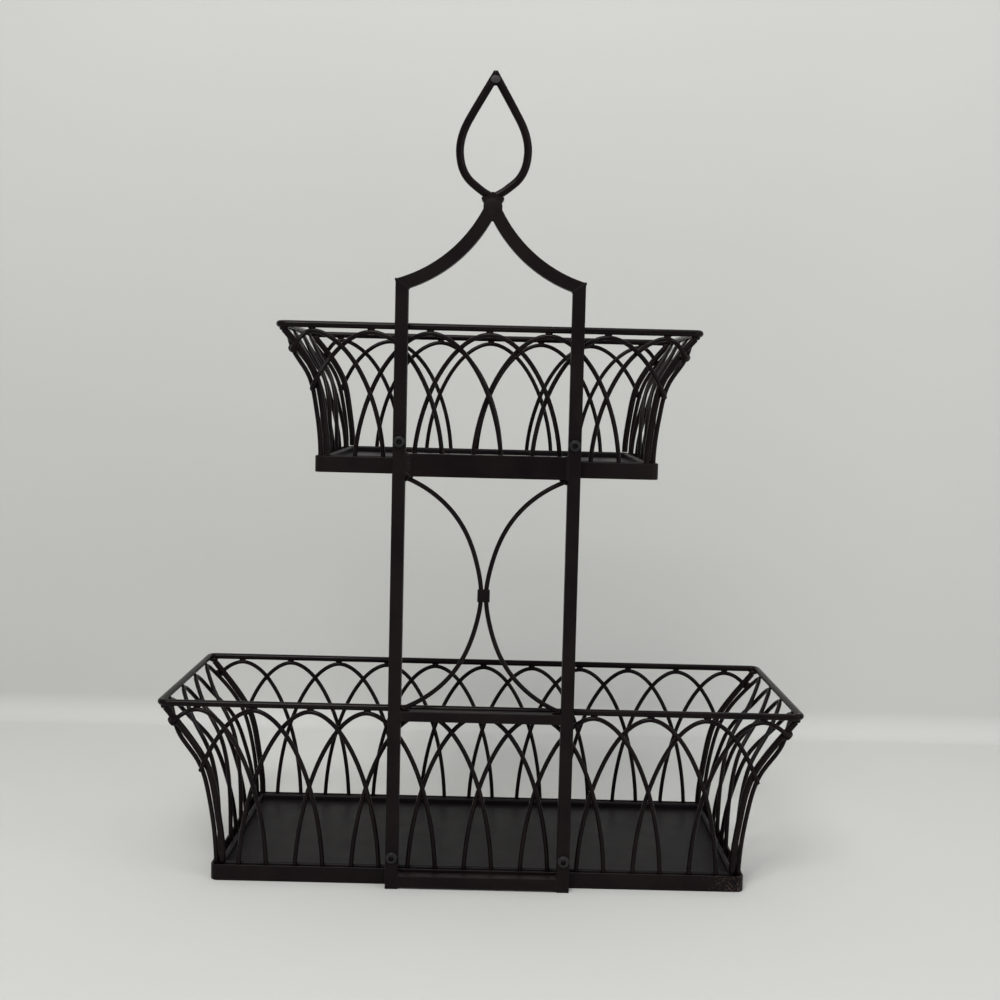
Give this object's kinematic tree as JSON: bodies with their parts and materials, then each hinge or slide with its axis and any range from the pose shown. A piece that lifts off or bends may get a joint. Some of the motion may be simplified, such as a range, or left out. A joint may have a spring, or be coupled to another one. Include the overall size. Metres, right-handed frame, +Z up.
{
  "type": "tiered wire basket",
  "caption": "Two-tier countertop basket stand: flared bent-wire baskets on flat bands with sheet trays, screwed to an upright bar frame with a curved roof and a teardrop loop finial.",
  "frame": {"origin": "centre of the footprint at the bottom face the stand rests on", "axes": "+Z up, +X to the viewer's right along the baskets' length, -Y towards the viewer, where the upright frame stands"},
  "size_m": [0.515, 0.212, 0.6355],
  "materials": {
    "frame_paint": "satin black-brown powder coat over welded square bar and rod",
    "band_paint": "satin black-brown powder coat on flat strip",
    "tray_paint": "satin black-brown powder coat on sheet",
    "wire_paint": "satin black-brown powder coat on round wire",
    "screw_finish": "black-oxide button-head screws with a hexagon socket, semi-gloss"
  },
  "bodies": {
    "root": {"left_upright": "frame_paint", "right_upright": "frame_paint", "bottom_rail": "frame_paint", "middle_rail": "frame_paint", "upper_rail": "frame_paint", "left_roof_bar": "frame_paint", "right_roof_bar": "frame_paint", "left_arc": "frame_paint", "right_arc": "frame_paint", "arc_collar": "frame_paint", "finial_left": "frame_paint", "finial_right": "frame_paint", "finial_seat": "frame_paint", "lower_band": "band_paint", "lower_tray": "tray_paint", "lower_rim": "wire_paint", "lower_corner_posts": "wire_paint", "lower_front_arches": "wire_paint", "lower_back_arches": "wire_paint", "lower_left_arches": "wire_paint", "lower_right_arches": "wire_paint", "lower_tabs": "band_paint", "lower_screws": "screw_finish", "upper_band": "band_paint", "upper_tray": "tray_paint", "upper_rim": "wire_paint", "upper_corner_posts": "wire_paint", "upper_front_arches": "wire_paint", "upper_back_arches": "wire_paint", "upper_left_arches": "wire_paint", "upper_right_arches": "wire_paint", "upper_tabs": "band_paint", "upper_screws": "screw_finish"}
  },
  "joints": []
}
